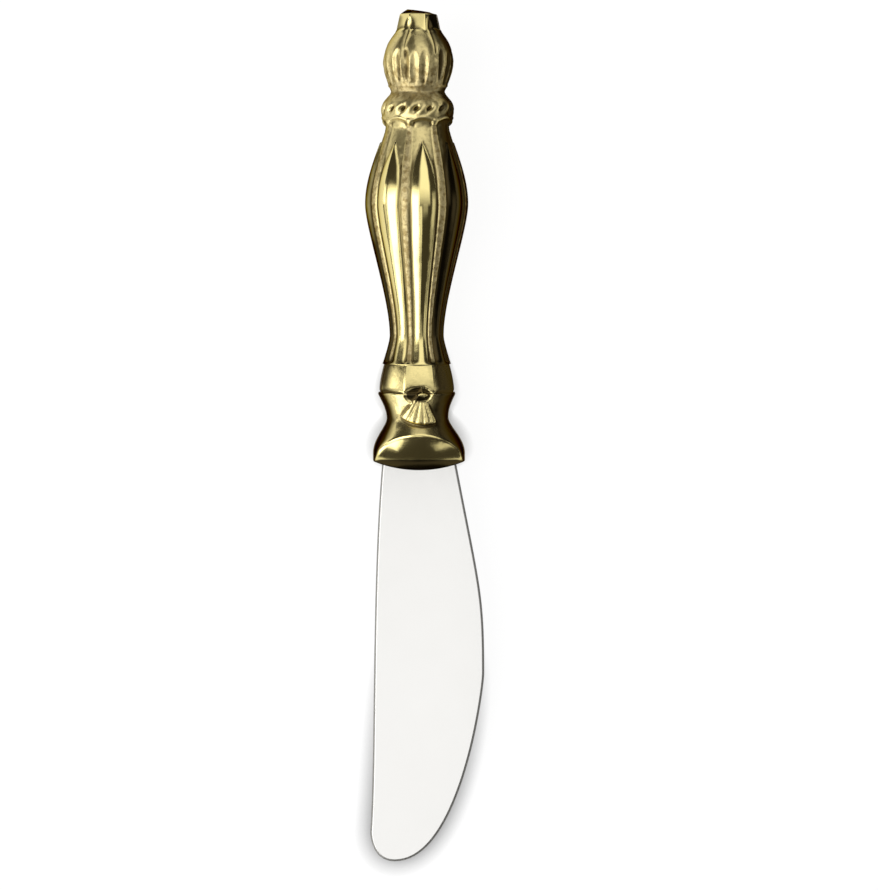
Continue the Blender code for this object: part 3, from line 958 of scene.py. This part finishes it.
def table_finish():
    """White, with light of its own where it is seen or mirrored, less so close to the spreader."""
    finish = Finish("white_table")
    kinds = ("Is Camera Ray", "Is Glossy Ray", "Is Transmission Ray")
    looked, mirrored, through = [finish.node("ShaderNodeLightPath", {}, {}, output=kind) for kind in kinds]
    sum_to_one = {"operation": "ADD", "use_clamp": True}
    seen = finish.node("ShaderNodeMath", sum_to_one, {0: looked + mirrored, 1: through})
    nearness = {"Distance": SHADE_REACH}
    shade = finish.node("ShaderNodeAmbientOcclusion", {"samples": SHADE_SAMPLES}, nearness, output="AO")
    finish.feed(finish.shader, {
        "Base Color": TABLE_COLOUR,
        "Roughness": TABLE_ROUGHNESS,
        "Specular IOR Level": 0.0,
        "Emission Color": finish.mix(seen * shade * shade, BLACK, WHITE),
        "Emission Strength": TABLE_GLOW,
    })
    return finish.material


table_mesh = bmesh.new()
bmesh.ops.create_grid(table_mesh, x_segments=1, y_segments=1, size=TABLE_SIZE / 2)
table = add_piece("table", table_mesh)
table.data.materials.append(table_finish())

SHEET_STEP = 3 * MM
EDGE_FADE = 0.3
OVERHEAD_FADE = 0.65


def soft_lamp(name, place, aim, width, height, brightness, sheets=2, end_fade=EDGE_FADE):
    """A flat lamp turned to a point: sheets of light, each smaller than the last, so that its edges fade."""
    turned = (Vector(aim) - Vector(place)).to_track_quat("-Z", "Y")
    for sheet in range(sheets):
        inner = sheet / (sheets - 1)
        lamp = bpy.data.lights.new(f"{name}_{sheet}", "AREA")
        lamp.shape = "RECTANGLE"
        lamp.size = width * (1 - EDGE_FADE * inner)
        lamp.size_y = height * (1 - end_fade * inner)
        lamp.energy = brightness / sheets * lamp.size * lamp.size_y * math.pi
        holder = bpy.data.objects.new(f"{name}_{sheet}", lamp)
        holder.location = Vector(place) + turned @ Vector((0, 0, SHEET_STEP * sheet))
        holder.rotation_euler = turned.to_euler()
        holder.visible_camera = False
        bpy.context.scene.collection.objects.link(holder)


# Each lamp's place, the point it faces, its width, height and brightness, and how many sheets if not two
soft_lamp("overhead_lamp", (0.22, 0.295, 0.5), (0.22, 0.295, 0), 0.74, 0.70, 1.25, 7, OVERHEAD_FADE)
soft_lamp("tongue_lamp", (0.24, -0.068, 0.5), (0.24, -0.068, 0), 0.34, 0.195, 0.34, 4)
soft_lamp("blade_lamp", (-0.01, -0.155, 0.5), (-0.01, -0.155, 0), 0.14, 0.30, 1.02)
soft_lamp("left_lamp", (-0.305, -0.07, 0.40), (0.0, -0.07, 0.02), 0.53, 0.54, 3.3, 4)
soft_lamp("side_lamp", (-0.62, -0.05, 0.17), (0, -0.05, 0.01), 0.40, 0.20, 0.8)
soft_lamp("right_lamp", (0.62, -0.05, 0.20), (0, -0.05, 0.01), 0.40, 0.30, 0.7)
soft_lamp("low_left_lamp", (-0.55, 0.11, 0.09), (0, 0, 0.01), 0.17, 0.18, 2.0)
soft_lamp("front_left_lamp", (-0.45, -0.36, 0.13), (0, 0, 0.01), 0.38, 0.22, 3.4)
soft_lamp("front_lamp", (-0.34, -0.56, 0.34), (0, 0, 0.01), 0.28, 0.28, 3.0)
soft_lamp("front_right_lamp", (0.40, -0.64, 0.35), (0, 0, 0.01), 0.46, 0.18, 0.7)
soft_lamp("back_lamp", (0.04, 0.71, 0.41), (0, 0, 0.02), 0.55, 0.60, 0.6)

room = bpy.data.worlds.new("dim_room")
room.use_nodes = True
room.node_tree.nodes["Background"].inputs["Color"].default_value = ROOM_COLOUR
bpy.context.scene.world = room

PICTURE_HEIGHT = 890
PIXEL = 0.178 * MM
PICTURE_MIDDLE = Vector((2.53 * MM, -1.32 * MM))
CAMERA_HEIGHT = 0.8
SILHOUETTE_HEIGHT = 9 * MM
SENSOR_HEIGHT = 24.0

camera = bpy.data.cameras.new("camera")
camera.sensor_fit = "VERTICAL"
camera.sensor_height = SENSOR_HEIGHT
camera.lens = SENSOR_HEIGHT * (CAMERA_HEIGHT - SILHOUETTE_HEIGHT) / (PICTURE_HEIGHT * PIXEL)
camera_stand = bpy.data.objects.new("camera", camera)
camera_stand.location = (*PICTURE_MIDDLE, CAMERA_HEIGHT)
bpy.context.scene.collection.objects.link(camera_stand)
bpy.context.scene.camera = camera_stand
bpy.context.scene.view_settings.view_transform = "Standard"
